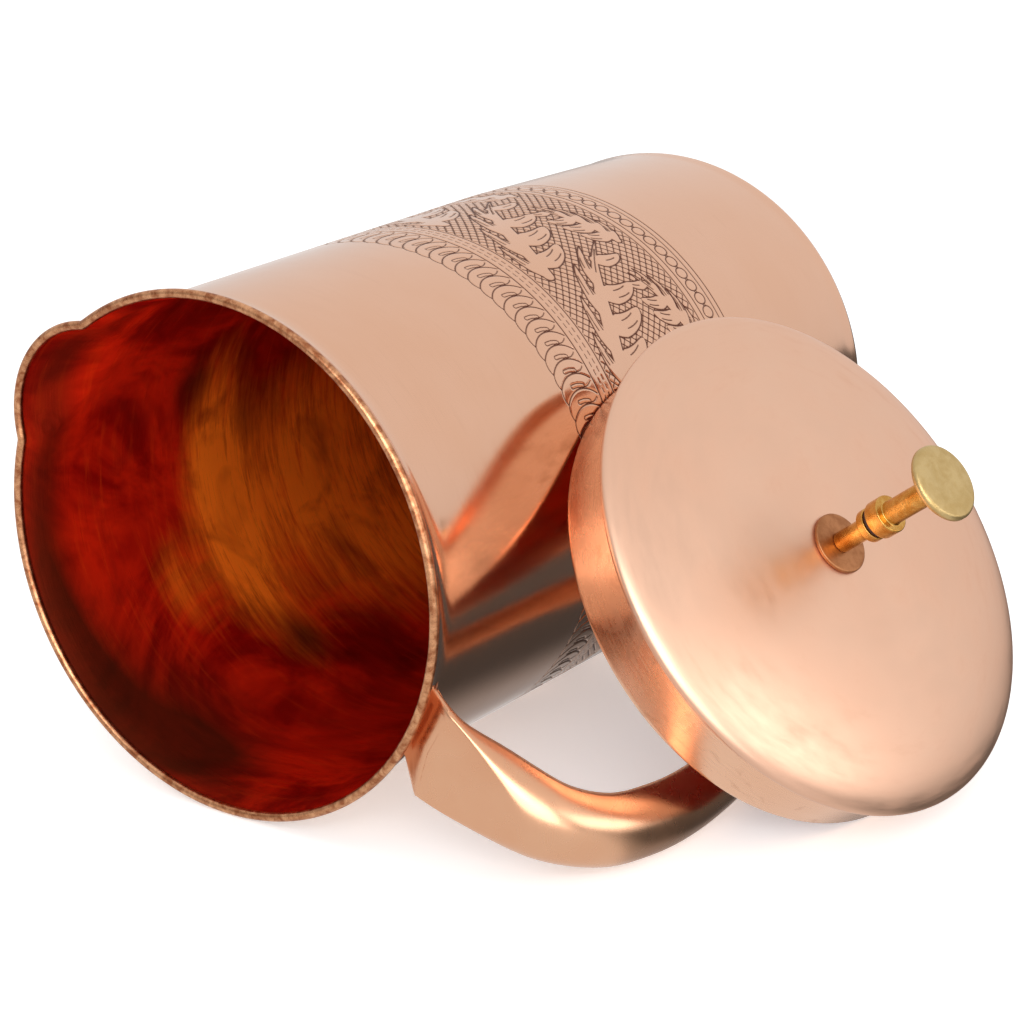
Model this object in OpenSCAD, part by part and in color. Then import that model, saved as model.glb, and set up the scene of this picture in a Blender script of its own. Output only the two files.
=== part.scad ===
// Copper water jug with a loose lid, lying on its side with the lid leaning on it.
// Millimetres. The jug and the lid are each drawn upright in their own frame, with the
// axis on Z and the origin at the middle of the lowest edge, then laid down together.

/* [Sheet] */
// Thickness of the copper sheet
sheet_t = 0.7; // [0.6:0.05:0.8]

/* [Jug body] */
// Height from the underside to the top of the rim
jug_h = 181.3; // [170:0.1:190]
// Outer radius of the wall at the foot
foot_r = 56.6; // [56:0.1:57]
// Outer radius of the wall where its taper starts
belly_r = 56.5; // [56:0.1:57]
// Height at which the taper starts
belly_z = 62; // [50:1:80]
// Outer radius of the wall just under the rim
neck_r = 52.9; // [52.8:0.1:53.2]
// Outer radius of the beaded rim
rim_r = 55; // [55:0.1:55.4]
// Radius of the bead's section
roll_r = 0.95; // [0.9:0.05:1.1]
// Radius of the corner between wall and underside
foot_round = 2.6; // [2:0.1:4]
// Width of the flat ring that the jug stands on
foot_ring_w = 6; // [4:0.5:10]

/* [Spout] */
// Angle between the handle and the spout, seen from above
spout_turn = 173; // [165:1:195]
// Half of the angle that the spout takes out of the rim
spout_half = 18; // [14:1:20]
// How far the spout's lip reaches from the jug's axis
spout_reach = 60; // [59:0.1:61]
// Height of the pinched spout
spout_h = 34; // [28:1:40]

/* [Handle] */
// Width of the handle where it meets the rim
grip_w_top = 22; // [20:0.5:26]
// Width of the handle at the hand
grip_w_mid = 15.2; // [14:0.1:18]
// Width of the handle where it meets the lower wall
grip_w_low = 20; // [17:0.5:24]
// Depth of the handle's section at the hand
grip_d_mid = 9.8; // [9:0.1:12]
// Depth of the handle's section at both ends
grip_d_end = 8.5; // [7:0.1:10]
// Level of the handle's flat upper end
cap_z = 179.3; // [177:0.1:179.3]
// Distance from the jug's axis to the fold where the end plate stops
fold_r = 58.5; // [57:0.5:62]
// Width of the end plate
cap_w = 20; // [18:0.5:20.5]

/* [Lid] */
// Outer radius of the skirt that drops into the mouth
skirt_r = 51.7; // [51:0.1:51.8]
// Depth of the skirt below the dome
skirt_h = 14.6; // [12:0.1:18]
// Outer radius of the dome
dome_r = 55; // [54.5:0.1:56]
// Height of the dome above its widest point
dome_rise = 6.2; // [5:0.1:9]
// Radius of the rounded lip at the dome's edge
lip_r = 1.1; // [0.9:0.1:1.4]

/* [Knob] */
// Radius of the flat head
head_r = 7.9; // [7:0.1:9]
// Thickness of the head
head_t = 1.8; // [1.4:0.1:2.4]
// Height of the head's top above the dome
knob_h = 30.6; // [28:0.1:34]
// Radius of the copper washer under the knob
washer_r = 6.5; // [6:0.1:8]
// Radius of the lower sleeve
low_sleeve_r = 2.2; // [2:0.1:2.6]
// Radius of the lower sleeve's collar
low_collar_r = 3.5; // [3:0.1:4]
// Radius of the upper sleeve
up_sleeve_r = 2.5; // [2.2:0.1:3]
// Radius of the upper sleeve's collar
up_collar_r = 4; // [3.6:0.1:4.5]
// Radius of the screw through the knob
screw_r = 1.45; // [1.2:0.05:1.5]

/* [Resting place] */
// Turn of the handle about the jug's axis, measured from straight up
lie_turn = -120.4; // [-122:0.1:-118]
// Angle of the lid's axis above the floor
lid_lean = 36.9; // [36:0.1:38]
// Turn of the lid about the vertical
lid_turn = -100.8; // [-102:0.1:-99]
// Middle of the lid's lower edge: along the jug, from the mouth
lid_x = 81.3; // [78:0.1:84]
// Middle of the lid's lower edge: sideways from the jug's axis
lid_y = -81.8; // [-84:0.1:-81]
// Middle of the lid's lower edge: height above the floor
lid_z = 41.35; // [41:0.05:43]

/* [Hidden] */

smooth = 96;
gap = 0.05;
copper = [0.86, 0.56, 0.44];
dark_copper = [0.55, 0.28, 0.18];
brass = [0.78, 0.62, 0.32];

// Levels and radii that follow from the sizes above
roll_c = rim_r - roll_r;
roll_z = jug_h - roll_r;
flare_z = jug_h - 5;
wall_top = jug_h - 2 * roll_r + 0.1;

// Circle of the spout's lip, through its tip and both ends of the pinch
lip_chord = roll_c * sin(spout_half);
lip_rise = spout_reach - roll_r - roll_c * cos(spout_half);
lobe_r = (lip_chord * lip_chord + lip_rise * lip_rise) / (2 * lip_rise);
lobe_x = spout_reach - roll_r - lobe_r;
lobe_low_r = 11;

// How the jug lies: belly and rim both touch the floor
lie_tilt = atan((belly_r - rim_r) / (roll_z - belly_z));
axis_z = rim_r * cos(lie_tilt) + roll_z * sin(lie_tilt);

// Upturned edge of the base plate, and the flange that holds the skirt in the dome's edge
plate_edge_z = 9;
flange_w = 1.5;

// Levels of the two beads of braze, each tucked under one end of the handle
upper_braze_z = 176.5;
lower_braze_z = 53.1;

// Levels on the lid
dome_z = skirt_h + lip_r;
apex_z = dome_z + dome_rise;

// Levels on the knob, from the top of the dome up
washer_t = 0.9;
inner_washer_r = 5;
low_collar_z = 8.9;
gasket_z = 10.7;
gasket_t = 1.2;
up_collar_z = gasket_z + gasket_t;
up_collar_top = 15.4;
head_z = knob_h - head_t;
nut_t = 2.6;
nut_r = 3.9;
nut_z = -2 * sheet_t - gap - nut_t;
screw_tail_z = nut_z - 1.2;
edge_round = 0.8;

// ---- Helpers ----

function arc(cx, cy, r, a0, a1, n) =
    [for (i = [0 : n]) let (a = a0 + (a1 - a0) * i / n) [cx + r * cos(a), cy + r * sin(a)]];

// Catmull-Rom curve through a list of points, at position u from 0 to the last index
function curve_at(p, u) =
    let (n = len(p) - 1, i = min(floor(u), n - 1), f = u - i,
        a = p[max(i - 1, 0)], b = p[i], c = p[i + 1], d = p[min(i + 2, n)])
    0.5 * (2 * b + (c - a) * f + (2 * a - 5 * b + 4 * c - d) * f * f
        + (3 * b - a - 3 * c + d) * f * f * f);

function unit(v) = v / norm(v);

// Solid swept through rings that all have the same even number of points, whose first half
// faces its second half, so that each end closes with a row of four-sided faces
module rings(list) {
    n = len(list[0]);
    m = len(list);
    last = (m - 1) * n;
    sides = [for (i = [0 : m - 2]) for (j = [0 : n - 1])
        let (a = i * n + j, b = i * n + (j + 1) % n)
        each [[a, b, b + n], [a, b + n, a + n]]];
    ends = [for (j = [0 : n / 2 - 2]) let (k = n - 1 - j)
        each [[j + 1, j, k], [j + 1, k, k - 1],
            [last + j, last + j + 1, last + k], [last + j + 1, last + k - 1, last + k]]];
    polyhedron(points = [for (r = list) each r], faces = concat(sides, ends), convexity = 6);
}

module turned(points) {
    rotate_extrude($fn = smooth) polygon(points);
}

module ring(r_out, r_in, z, h) {
    translate([0, 0, z]) difference() {
        cylinder(h = h, r = r_out, $fn = smooth);
        translate([0, 0, -1]) cylinder(h = h + 2, r = r_in, $fn = smooth);
    }
}

// ---- Jug body ----

// Line of the wall from the foot up to the roll, moved in by d
function wall_line(d) = concat(
    arc(foot_r - foot_round, foot_round, foot_round - d, -90, 0, 8),
    [[belly_r - d, belly_z], [neck_r - d, flare_z], [roll_c + sheet_t / 2 - d, wall_top]]);

// The spout's pinch: an upright cone whose lip swells out of the neck, larger by grow
module spout_cone(grow, over) {
    rotate([0, 0, spout_turn]) translate([lobe_x, 0, wall_top - spout_h])
        cylinder(h = spout_h + over, r1 = lobe_low_r + grow, r2 = lobe_r + grow, $fn = smooth);
}

module body_wall() color(copper) {
    difference() {
        union() {
            turned(concat(wall_line(0), reversed(wall_line(sheet_t)),
                [[foot_r - foot_round - foot_ring_w, sheet_t], [foot_r - foot_round - foot_ring_w, 0]]));
            difference() {
                spout_cone(sheet_t / 2, 0);
                turned(concat([[0, belly_z]], [for (p = wall_line(sheet_t / 2)) if (p[1] >= belly_z) p],
                    [[0, jug_h]]));
            }
        }
        spout_cone(-sheet_t / 2, 1);
    }
}

// Round bead along the mouth's edge, out round the spout's lip
module rim_bead() color(dark_copper) {
    lobe_a = atan2(lip_chord, roll_c * cos(spout_half) - lobe_x);
    rotate([0, 0, spout_turn]) translate([0, 0, roll_z]) {
        rotate([0, 0, spout_half])
            rotate_extrude(angle = 360 - 2 * spout_half, $fn = smooth)
                translate([roll_c, 0]) circle(r = roll_r, $fn = 24);
        translate([lobe_x, 0, 0]) rotate([0, 0, -lobe_a])
            rotate_extrude(angle = 2 * lobe_a, $fn = smooth)
                translate([lobe_r, 0]) circle(r = roll_r, $fn = 24);
    }
}

// Pressed disc that stands on the foot ring, with an upturned edge brazed to the wall
module base_plate() color(copper) {
    out_r = foot_r - sheet_t - gap;
    bend = foot_round;
    turned(concat(
        [[0, sheet_t + gap]],
        arc(out_r - bend, sheet_t + gap + bend, bend, -90, 0, 6),
        [[out_r, plate_edge_z], [out_r - sheet_t, plate_edge_z]],
        arc(out_r - bend, sheet_t + gap + bend, bend - sheet_t, 0, -90, 6),
        [[0, 2 * sheet_t + gap]]));
}

// ---- Handle: a folded trough closed by a strip, in the XZ plane ----

// Middle line of the handle's outer face, from inside the upper wall to inside the lower wall
grip_line = [[44, 183.6], [60, 186.5], [73, 182], [87, 176], [96.2, 165.7], [100.5, 153],
    [102.4, 138.4], [102.1, 119.7], [100.1, 101.4], [96.2, 85.6], [88.8, 72], [77, 61.6],
    [63.4, 55.3], [48, 51]];
grip_steps = 30;
grip_side_points = 12;
grip_fullness = 0.85;
cap_round = 1.18;
grip_n = len(grip_line) - 1;

function grip_point(s) = curve_at(grip_line, s * grip_n);
function grip_dir(s) = unit(grip_point(min(s + 0.005, 1)) - grip_point(max(s - 0.005, 0)));
function ease(x) = let (c = max(0, min(1, x))) c * c * (3 - 2 * c);
function grip_w(s) = grip_w_top + (grip_w_mid - grip_w_top) * ease(s / 0.32)
    + (grip_w_low - grip_w_mid) * ease((s - 0.62) / 0.3);
function grip_d(s) = grip_d_end + (grip_d_mid - grip_d_end) * sin(180 * s);

// Smaller of two levels, rounded where they cross
function soft_min(a, b) = (a + b - sqrt((a - b) * (a - b) + cap_round * cap_round)) / 2;

// Point of the section at s: across the handle and inwards from its outer face, kept under a level
function grip_place(s, across, inwards, top) =
    let (p = grip_point(s), d = grip_dir(s), q = p + inwards * [d[1], -d[0]])
    [q[0], across, soft_min(q[1], top)];

// Crowned outer face and round sides: a half superellipse, moved in by d
function grip_arch(s, d) =
    let (w = grip_w(s) / 2 - d, h = grip_d(s) - d, e = grip_fullness)
    [for (i = [0 : grip_side_points]) let (a = 180 - 180 * i / grip_side_points, c = cos(a))
        grip_place(s, w * sign(c) * pow(abs(c), e), grip_d(s) - h * pow(sin(a), e), cap_z - d)];

function reversed(v) = [for (i = [len(v) - 1 : -1 : 0]) v[i]];

function trough_ring(s) = concat(grip_arch(s, 0), reversed(grip_arch(s, sheet_t)));

function strip_ring(s) =
    let (w = grip_w(s) / 2 - sheet_t - gap, d = grip_d(s))
    [for (q = [[-w, d], [-w, d - sheet_t], [w, d - sheet_t], [w, d]])
        grip_place(s, q[0], q[1], cap_z - sheet_t - gap)];

// Keeps what lies outside the jug
module outside_jug() {
    difference() {
        children();
        turned(concat([[0, 1]], wall_line(-gap), [[0, wall_top]]));
    }
}

// Flat plate between the rim and the fold, larger by grow
module end_plate(grow) {
    inside_r = roll_c - 6;
    translate([inside_r, -cap_w / 2 - grow, cap_z - sheet_t - grow])
        cube([fold_r - inside_r + grow, cap_w + 2 * grow, sheet_t + grow]);
}

module handle_shell() color(copper) difference() {
    outside_jug() rings([for (i = [0 : grip_steps]) trough_ring(i / grip_steps)]);
    end_plate(gap);
}

module handle_inner_strip() color(copper)
    outside_jug() rings([for (i = [0 : grip_steps]) strip_ring(i / grip_steps)]);

module handle_end_cap() color(dark_copper)
    outside_jug() end_plate(0);

// Beads of braze between the wall and the handle's two ends
module upper_braze() color(dark_copper)
    braze(upper_braze_z, 1.2, 13.5);

module lower_braze() color(dark_copper)
    braze(lower_braze_z, 1.4, 4.5);

// Flat on top against the handle, hollowed on its inner side by the wall it runs along
module braze(z, r, half_angle) {
    wall = neck_r + (belly_r - neck_r) * min(1, (flare_z - z) / (flare_z - belly_z));
    outside_jug()
        rotate([0, 0, -half_angle]) rotate_extrude(angle = 2 * half_angle, $fn = smooth)
            translate([wall, z]) polygon([[-1, 0], [r, 0], [0, -r], [-1, -r]]);
}

// ---- Lid ----

// Height of the dome's outer face at radius r, flat in the middle and round at the shoulder
function dome_at(r, grow) =
    dome_z + (dome_rise + grow) * pow(max(0, 1 - pow(r / (dome_r + grow), 2.3)), 1 / 2.1);

function dome_line(grow) =
    [for (i = [0 : 28]) let (r = (dome_r + grow) * sin(90 * (1 - i / 28))) [r, dome_at(r, grow)]];

module lid_dome() color(copper)
    difference() {
        turned(concat(
            [[skirt_r, skirt_h]],
            arc(dome_r - lip_r, dome_z, lip_r, -90, 0, 6),
            dome_line(0),
            reversed(dome_line(-sheet_t)),
            [[dome_r - sheet_t - 0.2, dome_z - 0.2], [skirt_r + 0.3, skirt_h + sheet_t],
                [skirt_r, skirt_h + sheet_t]]));
        translate([0, 0, dome_z]) cylinder(h = 20, r = screw_r + gap, $fn = smooth);
    }

// Straight band with a flange turned out at the top, held in the dome's edge
module lid_skirt() color(copper)
    turned([[skirt_r - sheet_t, 0], [skirt_r, 0], [skirt_r, skirt_h + sheet_t + gap],
        [skirt_r + flange_w, skirt_h + sheet_t + gap + 0.3], [skirt_r + flange_w, skirt_h + 2 * sheet_t],
        [skirt_r - sheet_t, skirt_h + 2 * sheet_t]]);

// ---- Knob, on the dome's top ----

module on_dome() translate([0, 0, apex_z]) children();

module knob_washer() color(dark_copper) on_dome()
    ring(washer_r, screw_r + gap, 0, washer_t);

module knob_lower_sleeve() color(brass) on_dome() {
    ring(low_sleeve_r, screw_r + gap, washer_t, low_collar_z - washer_t);
    ring(low_collar_r, screw_r + gap, low_collar_z, gasket_z - low_collar_z);
}

module knob_gasket() color([0.12, 0.05, 0.04]) on_dome()
    ring(low_collar_r - 0.3, screw_r + gap, gasket_z, gasket_t);

module knob_upper_sleeve() color(brass) on_dome() {
    ring(up_collar_r, screw_r + gap, up_collar_z, up_collar_top - up_collar_z);
    ring(up_sleeve_r, screw_r + gap, up_collar_top, head_z - up_collar_top);
}

// Flat head with a long shank that runs down through both sleeves and the dome
module knob_screw() color(brass) on_dome()
    turned(concat(
        [[0, screw_tail_z], [screw_r, screw_tail_z], [screw_r, head_z],
            [head_r - edge_round / 2, head_z], [head_r, head_z + edge_round / 2]],
        arc(head_r - edge_round, knob_h - edge_round, edge_round, 0, 90, 4),
        [[0, knob_h]]));

module inner_washer() color(copper) on_dome()
    ring(inner_washer_r, screw_r + gap, nut_z + nut_t, sheet_t);

module knob_nut() color(brass) on_dome()
    difference() {
        translate([0, 0, nut_z]) cylinder(h = nut_t, r = nut_r, $fn = 6);
        translate([0, 0, nut_z - 1]) cylinder(h = nut_t + 2, r = screw_r + gap, $fn = smooth);
    }

// ---- Where the jug and the lid lie ----

// Middle of the whole object's box, from the mouth's centre
centre_x = 90.64;
centre_y = -36.02;

module jug_place()
    translate([-centre_x, -centre_y, axis_z - jug_h * sin(lie_tilt)])
        rotate([0, -90 - lie_tilt, 0]) translate([0, 0, -jug_h]) rotate([0, 0, lie_turn]) children();

module lid_place()
    translate([lid_x - centre_x, lid_y - centre_y, lid_z])
        rotate([0, 0, lid_turn]) rotate([0, 90 - lid_lean, 0]) children();

jug_place() body_wall();
jug_place() rim_bead();
jug_place() base_plate();
jug_place() handle_shell();
jug_place() handle_inner_strip();
jug_place() handle_end_cap();
jug_place() upper_braze();
jug_place() lower_braze();
lid_place() lid_dome();
lid_place() lid_skirt();
lid_place() knob_washer();
lid_place() knob_lower_sleeve();
lid_place() knob_gasket();
lid_place() knob_upper_sleeve();
lid_place() knob_screw();
lid_place() inner_washer();
lid_place() knob_nut();
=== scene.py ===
import math

import bpy
import numpy as np
from mathutils import Matrix, Vector


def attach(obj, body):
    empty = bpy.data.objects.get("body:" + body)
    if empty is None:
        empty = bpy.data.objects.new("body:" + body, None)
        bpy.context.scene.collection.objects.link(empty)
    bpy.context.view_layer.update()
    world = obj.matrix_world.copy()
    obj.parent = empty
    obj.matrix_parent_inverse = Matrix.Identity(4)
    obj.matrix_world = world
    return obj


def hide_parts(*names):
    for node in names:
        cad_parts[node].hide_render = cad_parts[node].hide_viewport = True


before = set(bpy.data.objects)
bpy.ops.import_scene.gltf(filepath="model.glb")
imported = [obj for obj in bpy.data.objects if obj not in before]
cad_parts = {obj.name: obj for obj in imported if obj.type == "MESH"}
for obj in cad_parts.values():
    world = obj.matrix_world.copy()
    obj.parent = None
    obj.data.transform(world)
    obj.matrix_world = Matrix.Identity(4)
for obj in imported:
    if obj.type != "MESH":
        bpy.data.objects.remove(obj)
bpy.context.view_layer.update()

MM = 0.001

# ---- Sizes, in millimetres, as in the CAD model ----

SHEET = 0.7
# Clearance between two sheets that lie together
GAP = 0.05
JUG_H = 181.3
FOOT_R = 56.6
BELLY_R = 56.5
BELLY_Z = 62.0
NECK_R = 52.9
RIM_R = 55.0
ROLL_R = 0.95
FOOT_ROUND = 2.6
FOOT_RING_W = 6.0
ROLL_C = RIM_R - ROLL_R
ROLL_Z = JUG_H - ROLL_R
FLARE_Z = JUG_H - 5
WALL_TOP = JUG_H - 2 * ROLL_R + 0.1

SPOUT_TURN = 173.0
SPOUT_HALF = 18.0
SPOUT_REACH = 60.0
SPOUT_H = 34.0
LOBE_LOW_R = 11.0
LIP_CHORD = ROLL_C * math.sin(math.radians(SPOUT_HALF))
LIP_RISE = SPOUT_REACH - ROLL_R - ROLL_C * math.cos(math.radians(SPOUT_HALF))
LOBE_R = (LIP_CHORD**2 + LIP_RISE**2) / (2 * LIP_RISE)
LOBE_X = SPOUT_REACH - ROLL_R - LOBE_R

CAP_Z = 179.3
FOLD_R = 58.5

SKIRT_R = 51.7
SKIRT_H = 14.6
DOME_R = 54.99
DOME_RISE = 6.2
LIP_R = 1.1
DOME_Z = SKIRT_H + LIP_R
APEX_Z = DOME_Z + DOME_RISE

# ---- Where the jug and the lid lie ----

CENTRE_X = 90.64
CENTRE_Y = -36.02
LIE_TURN = -120.4
LIE_TILT = math.degrees(math.atan((BELLY_R - RIM_R) / (ROLL_Z - BELLY_Z)))
TILT = math.radians(LIE_TILT)
AXIS_Z = RIM_R * math.cos(TILT) + ROLL_Z * math.sin(TILT)


def turn(axis, degrees):
    return Matrix.Rotation(math.radians(degrees), 4, axis)


def shift(x, y, z):
    return Matrix.Translation((x, y, z))


JUG = (
    shift(-CENTRE_X, -CENTRE_Y, AXIS_Z - JUG_H * math.sin(TILT))
    @ turn("Y", -90 - LIE_TILT)
    @ shift(0, 0, -JUG_H)
    @ turn("Z", LIE_TURN)
)
LID = (
    shift(81.3 - CENTRE_X, -81.8 - CENTRE_Y, 41.35)
    @ turn("Z", -100.8)
    @ turn("Y", 90 - 36.9)
)
KNOB = LID @ shift(0, 0, APEX_Z)


# ---- Mesh helpers ----


def add_piece(name, points, faces, place, material, body, node, values=None):
    """A smooth mesh from points in millimetres in a part's own frame, in place of a CAD node."""
    m = np.array(place)
    world = (np.asarray(points, float) @ m[:3, :3].T + m[:3, 3]) * MM
    mesh = bpy.data.meshes.new(name)
    mesh.from_pydata(world.tolist(), [], faces if isinstance(faces, list) else faces.tolist())
    mesh.update()
    mesh.polygons.foreach_set("use_smooth", np.ones(len(mesh.polygons), bool))
    for key, column in (values or {}).items():
        layer = mesh.attributes.new(key, "FLOAT", "POINT")
        layer.data.foreach_set("value", np.asarray(column, np.float32))
    place_layer = mesh.attributes.new("own", "FLOAT_VECTOR", "POINT")
    place_layer.data.foreach_set("vector", np.asarray(points, np.float32).ravel())
    obj = bpy.data.objects.new(name, mesh)
    bpy.context.scene.collection.objects.link(obj)
    mesh.materials.append(material)
    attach(obj, body)
    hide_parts(node)


def grid_faces(rows, columns, wrap_columns=True, wrap_rows=False):
    """Quads over a grid of rows by columns, numbered row by row."""
    r = np.arange(rows if wrap_rows else rows - 1)
    c = np.arange(columns if wrap_columns else columns - 1)
    rr, cc = np.meshgrid(r, c, indexing="ij")
    r2, c2 = (rr + 1) % rows, (cc + 1) % columns
    quads = np.stack([rr * columns + cc, rr * columns + c2, r2 * columns + c2, r2 * columns + cc], -1)
    return quads.reshape(-1, 4)


def turned(r, angle, z):
    """Points at a radius, an angle in degrees and a height."""
    rad = np.radians(angle)
    return np.stack([r * np.cos(rad), r * np.sin(rad), z + 0 * rad], -1)


def lathe(line, segments, closed=True):
    """Points and quads of a line of (r, z) turned round Z; a closed line makes a ring."""
    line = np.asarray(line, float)
    a = np.linspace(0, 2 * math.pi, segments, endpoint=False)
    r, z = line[:, 0:1], line[:, 1:2]
    points = np.stack([r * np.cos(a), r * np.sin(a), z + 0 * a], -1).reshape(-1, 3)
    return points, grid_faces(len(line), segments, True, closed)


def arc(cx, cy, r, a0, a1, n):
    """Points of an arc in n steps, between two angles in degrees."""
    return [
        (cx + r * math.cos(math.radians(a)), cy + r * math.sin(math.radians(a)))
        for a in np.linspace(a0, a1, n + 1)
    ]


def rounded(corners, radius, n=4):
    """A closed line of (r, z) with each corner cut by a small arc-like bend."""
    out = []
    count = len(corners)
    for i, p in enumerate(corners):
        p = np.array(p, float)
        before = np.array(corners[i - 1], float) - p
        after = np.array(corners[(i + 1) % count], float) - p
        cut = min(radius, 0.45 * np.linalg.norm(before), 0.45 * np.linalg.norm(after))
        a = p + before / np.linalg.norm(before) * cut
        b = p + after / np.linalg.norm(after) * cut
        for t in np.linspace(0, 1, n + 1):
            out.append(tuple((1 - t) ** 2 * a + 2 * t * (1 - t) * p + t * t * b))
    return out


# ---- Materials ----


def colour_ramp(tree, fac, stops, kind):
    """A ramp of colours over a value from 0 to 1."""
    node = tree.nodes.new("ShaderNodeValToRGB")
    band = node.color_ramp
    band.interpolation = kind
    while len(band.elements) < len(stops):
        band.elements.new(0.5)
    for element, (place, colour) in zip(band.elements, stops):
        element.position = place
        element.color = (*colour, 1)
    tree.links.new(fac, node.inputs[0])
    return node.outputs[0]


def set_range(node, low, high, to_low, to_high):
    for key, v in zip(("From Min", "From Max", "To Min", "To Max"), (low, high, to_low, to_high)):
        node.inputs[key].default_value = v


class Nodes:
    """Small helper for building one material."""

    def __init__(self, name):
        self.material = bpy.data.materials.new(name)
        self.material.use_nodes = True
        self.tree = self.material.node_tree
        self.tree.nodes.clear()
        self.out = self.add("ShaderNodeOutputMaterial")
        self.shader = self.add("ShaderNodeBsdfPrincipled")
        self.link(self.shader.outputs[0], self.out.inputs[0])

    def add(self, kind, **values):
        node = self.tree.nodes.new(kind)
        for key, value in values.items():
            setattr(node, key, value)
        return node

    def link(self, a, b):
        self.tree.links.new(a, b)

    def own(self):
        """Position in the part's own frame, in millimetres."""
        return self.add("ShaderNodeAttribute", attribute_name="own").outputs["Vector"]

    def value(self, name):
        return self.add("ShaderNodeAttribute", attribute_name=name).outputs["Fac"]

    def stretch(self, vector, scale):
        node = self.add("ShaderNodeMapping")
        node.inputs["Scale"].default_value = scale
        self.link(vector, node.inputs["Vector"])
        return node.outputs[0]

    def noise(self, vector, scale, detail=4, rough=0.55, distort=0.0):
        node = self.add("ShaderNodeTexNoise")
        node.inputs["Scale"].default_value = scale
        node.inputs["Detail"].default_value = detail
        node.inputs["Roughness"].default_value = rough
        node.inputs["Distortion"].default_value = distort
        self.link(vector, node.inputs["Vector"])
        return node.outputs["Fac"]

    def ramp(self, fac, stops):
        return colour_ramp(self.tree, fac, stops, "LINEAR")

    def span(self, fac, low, high, to_low, to_high):
        node = self.add("ShaderNodeMapRange")
        set_range(node, low, high, to_low, to_high)
        self.link(fac, node.inputs["Value"])
        return node.outputs[0]

    def mix(self, fac, a, b, kind="MIX"):
        node = self.add("ShaderNodeMix", data_type="RGBA", blend_type=kind)
        for socket, v in ((node.inputs["Factor"], fac), (node.inputs[6], a), (node.inputs[7], b)):
            if isinstance(v, (int, float)):
                socket.default_value = v
            elif isinstance(v, tuple):
                socket.default_value = (*v, 1)
            else:
                self.link(v, socket)
        return node.outputs[2]

    def math(self, kind, a, b=0.0):
        node = self.add("ShaderNodeMath", operation=kind)
        for socket, v in zip(node.inputs, (a, b)):
            if isinstance(v, (int, float)):
                socket.default_value = v
            else:
                self.link(v, socket)
        return node.outputs[0]

    def bump(self, height, strength, distance):
        """Bump on the shader's normal; the distance is in metres."""
        node = self.add("ShaderNodeBump")
        node.inputs["Strength"].default_value = strength
        node.inputs["Distance"].default_value = distance
        self.link(height, node.inputs["Height"])
        self.link(node.outputs[0], self.shader.inputs["Normal"])

    def set(self, **values):
        for key, v in values.items():
            socket = self.shader.inputs[key.replace("_", " ")]
            if isinstance(v, (int, float)):
                socket.default_value = v
            elif isinstance(v, tuple):
                socket.default_value = (*v, 1)
            else:
                self.link(v, socket)


def polished_copper(name, light, deep, rough, ripple=0.0, smudges=0.3, ink=False, stained=False):
    """Rose copper: slow drift of colour, finger smudges and fine polishing lines round the axis."""
    n = Nodes(name)
    own = n.own()
    cloud = n.noise(own, 0.03, 3, 0.5)
    colour = n.mix(n.span(cloud, 0.35, 0.65, 0, 1), light, deep)
    smudge = n.noise(own, 0.08, 5, 0.6, 0.5)
    lines = n.noise(n.stretch(own, (0.05, 0.05, 1)), 2.2, 4, 0.6)
    roughness = n.math(
        "ADD",
        n.span(smudge, 0.35, 0.7, rough * (1 - smudges / 2), rough * (1 + smudges)),
        n.span(lines, 0.35, 0.75, 0, rough * 0.35),
    )
    colour = n.mix(n.span(lines, 0.55, 0.8, 0, 0.16), colour, (0.62, 0.33, 0.21))
    if stained:
        blot = n.noise(own, 0.075, 6, 0.68, 1.4)
        colour = n.mix(n.span(blot, 0.54, 0.70, 0, 0.55), colour, (0.45, 0.20, 0.10))
        roughness = n.math("ADD", roughness, n.span(blot, 0.5, 0.75, 0, 0.1))
    if ink:
        line = n.value("ink")
        colour = n.mix(n.span(line, 0.25, 0.85, 0, 1), colour, INK)
        roughness = n.math("ADD", roughness, n.span(line, 0.1, 0.9, 0, 0.3))
    wave = n.noise(own, 0.055, 2, 0.4)
    n.bump(n.math("ADD", n.math("MULTIPLY", wave, ripple), n.math("MULTIPLY", lines, 0.02)), 0.3, 0.001)
    n.set(Base_Color=colour, Metallic=1.0, Roughness=roughness)
    return n.material


def heated_copper(name):
    """Polished copper that darkens to burnt brown where the attribute heat is high."""
    n = Nodes(name)
    own = n.own()
    cloud = n.noise(own, 0.05, 3, 0.5)
    colour = n.mix(n.span(cloud, 0.35, 0.65, 0, 1), (0.82, 0.46, 0.28), (0.79, 0.41, 0.24))
    blot = n.noise(own, 0.28, 5, 0.65, 0.8)
    heat = n.math("ADD", n.value("heat"), n.span(blot, 0.3, 0.7, -0.28, 0.28))
    tint = n.ramp(
        heat,
        [
            (0.30, (1.0, 1.0, 1.0)),
            (0.45, (0.84, 0.62, 0.48)),
            (0.64, (0.50, 0.27, 0.17)),
            (0.85, (0.21, 0.09, 0.055)),
        ],
    )
    smudge = n.noise(own, 0.1, 5, 0.6, 0.5)
    roughness = n.math("ADD", n.span(smudge, 0.35, 0.7, 0.24, 0.32), n.span(heat, 0.3, 0.9, 0, 0.14))
    n.bump(n.math("MULTIPLY", blot, n.span(heat, 0.4, 0.9, 0, 0.4)), 0.4, 0.0003)
    n.set(Base_Color=n.mix(1.0, colour, tint, "MULTIPLY"), Metallic=1.0, Roughness=roughness)
    return n.material


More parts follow.
